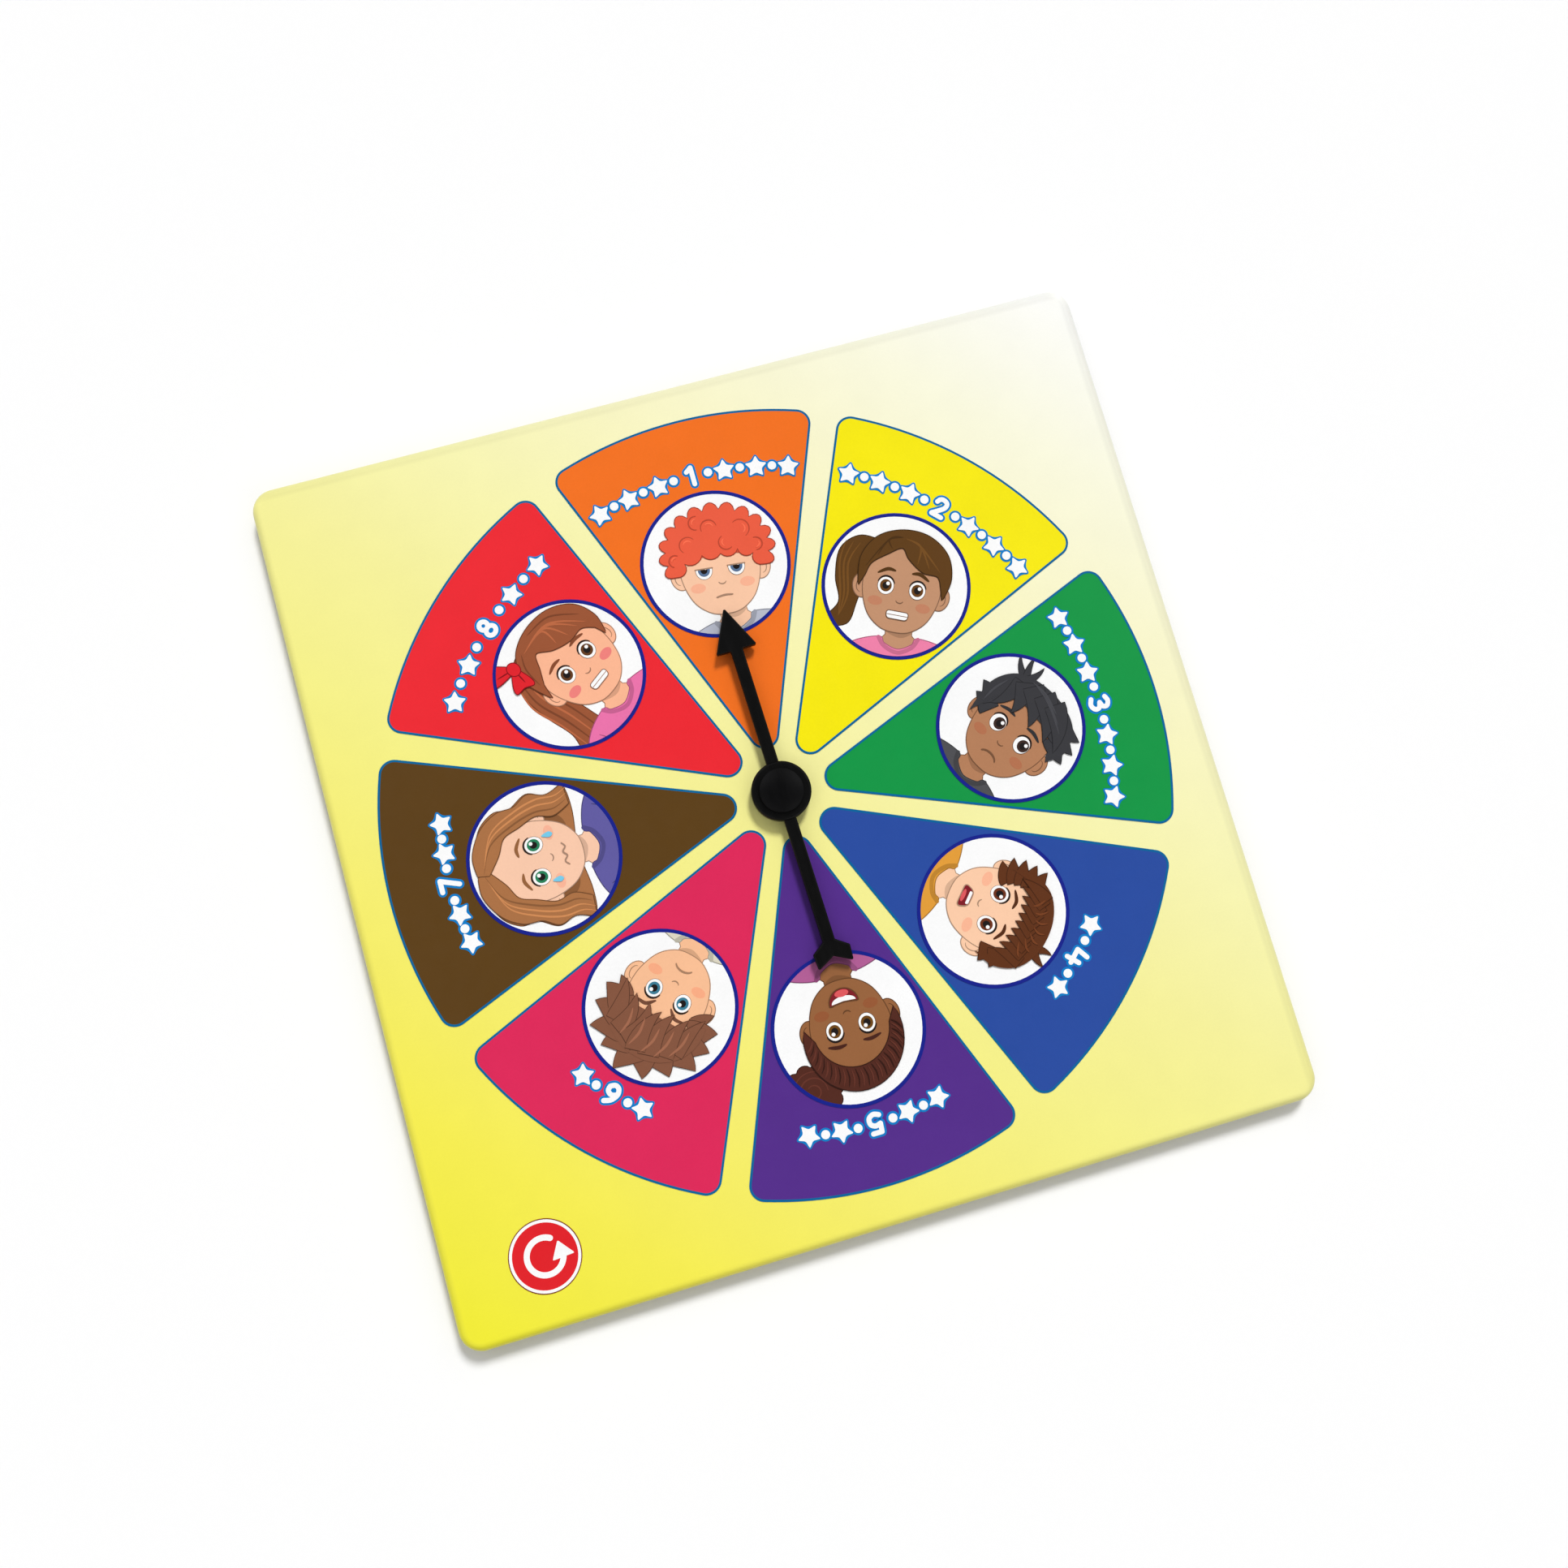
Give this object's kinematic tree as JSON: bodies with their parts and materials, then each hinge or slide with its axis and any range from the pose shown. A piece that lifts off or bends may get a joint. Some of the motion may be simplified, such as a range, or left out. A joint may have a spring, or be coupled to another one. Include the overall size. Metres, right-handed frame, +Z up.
{
  "type": "game spinner",
  "caption": "Flat square board-game spinner: a printed wheel of coloured sectors with round pictures, and a black arrow that spins on a snap rivet at its centre.",
  "frame": {"origin": "on the table under the pointer's pivot, at the centre of the board's outline", "axes": "+Z up along the pivot, +Y towards sector 1, +X towards sector 3"},
  "size_m": [0.2, 0.2, 0.0106],
  "materials": {
    "greyboard": "raw",
    "face_print": "satin laminate",
    "back_liner": "matt",
    "portrait_print": "satin laminate",
    "badge_print": "satin laminate",
    "pivot_plastic": "satin moulded",
    "pointer_plastic": "satin moulded",
    "washer_plastic": "matt nylon",
    "foot_rubber": "matt",
    "print_orange": "satin laminate",
    "print_yellow": "satin laminate",
    "print_green": "satin laminate",
    "print_blue": "satin laminate",
    "print_purple": "satin laminate",
    "print_crimson": "satin laminate",
    "print_brown": "satin laminate",
    "print_red": "satin laminate"
  },
  "bodies": {
    "board": {"board_core": "greyboard", "face_sheet": "face_print", "back_sheet": "back_liner", "pivot_barrel": "pivot_plastic", "pivot_pin": "pivot_plastic", "lower_washer": "washer_plastic", "upper_washer": "washer_plastic", "badge_label": "badge_print", "foot_front_left": "foot_rubber", "foot_front_right": "foot_rubber", "foot_rear_left": "foot_rubber", "foot_rear_right": "foot_rubber", "sector_label_1": "print_orange", "portrait_label_1": "portrait_print", "sector_label_2": "print_yellow", "portrait_label_2": "portrait_print", "sector_label_3": "print_green", "portrait_label_3": "portrait_print", "sector_label_4": "print_blue", "portrait_label_4": "portrait_print", "sector_label_5": "print_purple", "portrait_label_5": "portrait_print", "sector_label_6": "print_crimson", "portrait_label_6": "portrait_print", "sector_label_7": "print_brown", "portrait_label_7": "portrait_print", "sector_label_8": "print_red", "portrait_label_8": "portrait_print"},
    "pointer": {"pointer": "pointer_plastic"}
  },
  "joints": [
    {"name": "pointer_spin", "type": "hinge", "parent": "board", "child": "pointer", "pos_m": [0, 0, 0.007], "axis": [0, 0, 1], "continuous": true}
  ]
}
